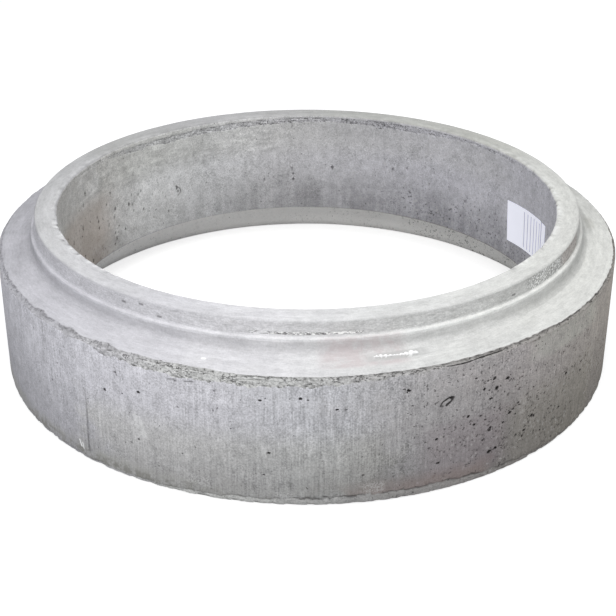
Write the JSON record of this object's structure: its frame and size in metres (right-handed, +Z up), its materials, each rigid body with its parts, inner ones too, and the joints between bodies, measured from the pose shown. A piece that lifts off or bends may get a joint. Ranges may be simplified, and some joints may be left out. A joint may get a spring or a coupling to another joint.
{
  "type": "concrete culvert ring",
  "caption": "Precast concrete culvert or shaft ring with a wide bore, a spigot with a seal ledge on top and a mating socket underneath.",
  "frame": {"origin": "on the ring's axis, at the level of the foot that it stands on", "axes": "+Z up along the ring's axis, from the foot to the spigot"},
  "size_m": [1.24, 1.24, 0.315],
  "materials": {
    "concrete": "matte cast concrete, pale laitance on the spigot and shoulder, blow-holes on the wall"
  },
  "bodies": {
    "root": {"ring": "concrete"}
  },
  "joints": []
}
